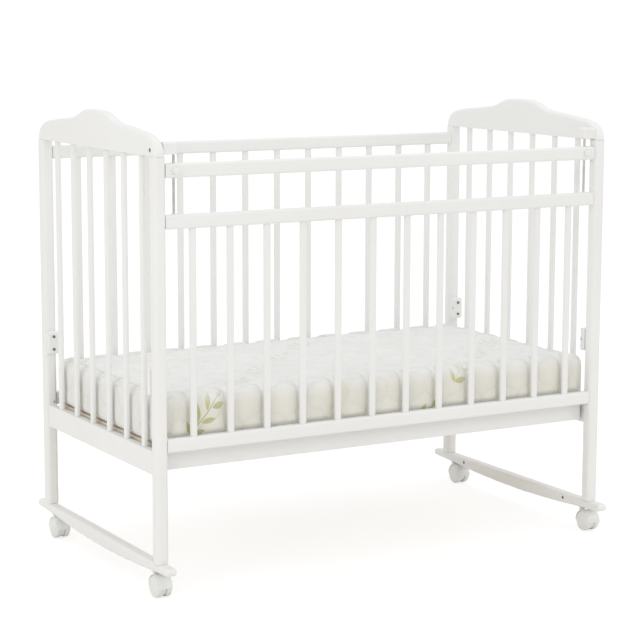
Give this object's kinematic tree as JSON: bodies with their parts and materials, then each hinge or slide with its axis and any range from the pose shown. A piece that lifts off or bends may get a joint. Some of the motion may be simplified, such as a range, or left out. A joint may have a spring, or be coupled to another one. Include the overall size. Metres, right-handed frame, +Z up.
{
  "type": "baby crib",
  "caption": "Slatted baby crib with a sliding drop rail, height-adjustable slatted base, mattress, shaped ends, curved rockers and swivel casters.",
  "frame": {"origin": "on the floor, under the middle of the crib", "axes": "+X along the crib's length, -Y out of the front (the side with the drop rail), +Z up"},
  "size_m": [1.2492, 0.7658, 1.0883],
  "materials": {
    "white_paint": "birch painted satin white",
    "bare_wood": "bare sanded birch",
    "steel_rod": "drawn steel rod",
    "dark_steel": "blackened steel",
    "white_plastic": "satin white moulded plastic",
    "caster_plastic": "slightly glossy white moulded plastic",
    "mattress_fabric": "quilted white knit with cream sides"
  },
  "bodies": {
    "frame": {"left_crest_board": "white_paint", "left_end_board": "white_paint", "left_end_slats": "white_paint", "left_rocker": "white_paint", "left_guide_rod": "steel_rod", "left_rod_holder": "white_plastic", "left_front_post": "white_paint", "left_rear_post": "white_paint", "right_crest_board": "white_paint", "right_end_board": "white_paint", "right_end_slats": "white_paint", "right_rocker": "white_paint", "right_guide_rod": "steel_rod", "right_rod_holder": "white_plastic", "right_front_post": "white_paint", "right_rear_post": "white_paint", "front_slats": "white_paint", "rear_slats": "white_paint", "front_bottom_rail": "white_paint", "rear_bottom_rail": "white_paint", "rear_top_rail": "white_paint", "front_middle_rail": "white_paint", "rod_buffers": "white_plastic", "rod_holder_bolts": "dark_steel", "frame_dowels": "bare_wood", "rocker_inserts": "dark_steel", "upper_support_blocks": "white_plastic", "block_screws": "dark_steel", "shelf_pins": "steel_rod", "caster_sockets": "white_plastic"},
    "drop_side": {"drop_rail": "white_paint", "drop_rail_bushings": "white_plastic"},
    "left_latch": {"left_latch_knob": "white_plastic"},
    "right_latch": {"right_latch_knob": "white_plastic"},
    "base": {"base_front_rail": "white_paint", "base_rear_rail": "white_paint", "base_end_rails": "bare_wood", "base_slats": "bare_wood"},
    "mattress": {"mattress": "mattress_fabric"},
    "left_front_caster_swivel": {"left_front_caster_hood": "caster_plastic", "left_front_caster_stem": "steel_rod"},
    "left_front_caster_wheels": {"left_front_caster_axle": "steel_rod", "left_front_caster_outer_wheel": "caster_plastic", "left_front_caster_inner_wheel": "caster_plastic"},
    "left_rear_caster_swivel": {"left_rear_caster_hood": "caster_plastic", "left_rear_caster_stem": "steel_rod"},
    "left_rear_caster_wheels": {"left_rear_caster_axle": "steel_rod", "left_rear_caster_outer_wheel": "caster_plastic", "left_rear_caster_inner_wheel": "caster_plastic"},
    "right_front_caster_swivel": {"right_front_caster_hood": "caster_plastic", "right_front_caster_stem": "steel_rod"},
    "right_front_caster_wheels": {"right_front_caster_axle": "steel_rod", "right_front_caster_outer_wheel": "caster_plastic", "right_front_caster_inner_wheel": "caster_plastic"},
    "right_rear_caster_swivel": {"right_rear_caster_hood": "caster_plastic", "right_rear_caster_stem": "steel_rod"},
    "right_rear_caster_wheels": {"right_rear_caster_axle": "steel_rod", "right_rear_caster_outer_wheel": "caster_plastic", "right_rear_caster_inner_wheel": "caster_plastic"}
  },
  "joints": [
    {"name": "drop_side_slide", "type": "slide", "parent": "frame", "child": "drop_side", "axis": [0, 0, -1], "range_m": [0, 0.078]},
    {"name": "left_latch_pull", "type": "slide", "parent": "drop_side", "child": "left_latch", "axis": [0, -1, 0], "range_m": [0, 0.003], "stiffness_N_per_m": 400},
    {"name": "right_latch_pull", "type": "slide", "parent": "drop_side", "child": "right_latch", "axis": [0, -1, 0], "range_m": [0, 0.003], "stiffness_N_per_m": 400},
    {"name": "base_height", "type": "slide", "parent": "frame", "child": "base", "axis": [0, 0, 1], "range_m": [0, 0.18]},
    {"name": "mattress_lift_out", "type": "slide", "parent": "base", "child": "mattress", "axis": [0, 0, 1], "range_m": [0, 0.35]},
    {"name": "left_front_caster_swivel", "type": "hinge", "parent": "frame", "child": "left_front_caster_swivel", "pos_m": [-0.605, -0.297, 0.056], "axis": [0, 0, 1], "continuous": true},
    {"name": "left_front_caster_roll", "type": "hinge", "parent": "left_front_caster_swivel", "child": "left_front_caster_wheels", "pos_m": [-0.605, -0.321, 0.025], "axis": [1, 0, 0], "continuous": true},
    {"name": "left_rear_caster_swivel", "type": "hinge", "parent": "frame", "child": "left_rear_caster_swivel", "pos_m": [-0.605, 0.297, 0.056], "axis": [0, 0, 1], "continuous": true},
    {"name": "left_rear_caster_roll", "type": "hinge", "parent": "left_rear_caster_swivel", "child": "left_rear_caster_wheels", "pos_m": [-0.605, 0.273, 0.025], "axis": [1, 0, 0], "continuous": true},
    {"name": "right_front_caster_swivel", "type": "hinge", "parent": "frame", "child": "right_front_caster_swivel", "pos_m": [0.605, -0.297, 0.056], "axis": [0, 0, 1], "continuous": true},
    {"name": "right_front_caster_roll", "type": "hinge", "parent": "right_front_caster_swivel", "child": "right_front_caster_wheels", "pos_m": [0.605, -0.321, 0.025], "axis": [1, 0, 0], "continuous": true},
    {"name": "right_rear_caster_swivel", "type": "hinge", "parent": "frame", "child": "right_rear_caster_swivel", "pos_m": [0.605, 0.297, 0.056], "axis": [0, 0, 1], "continuous": true},
    {"name": "right_rear_caster_roll", "type": "hinge", "parent": "right_rear_caster_swivel", "child": "right_rear_caster_wheels", "pos_m": [0.605, 0.273, 0.025], "axis": [1, 0, 0], "continuous": true}
  ]
}
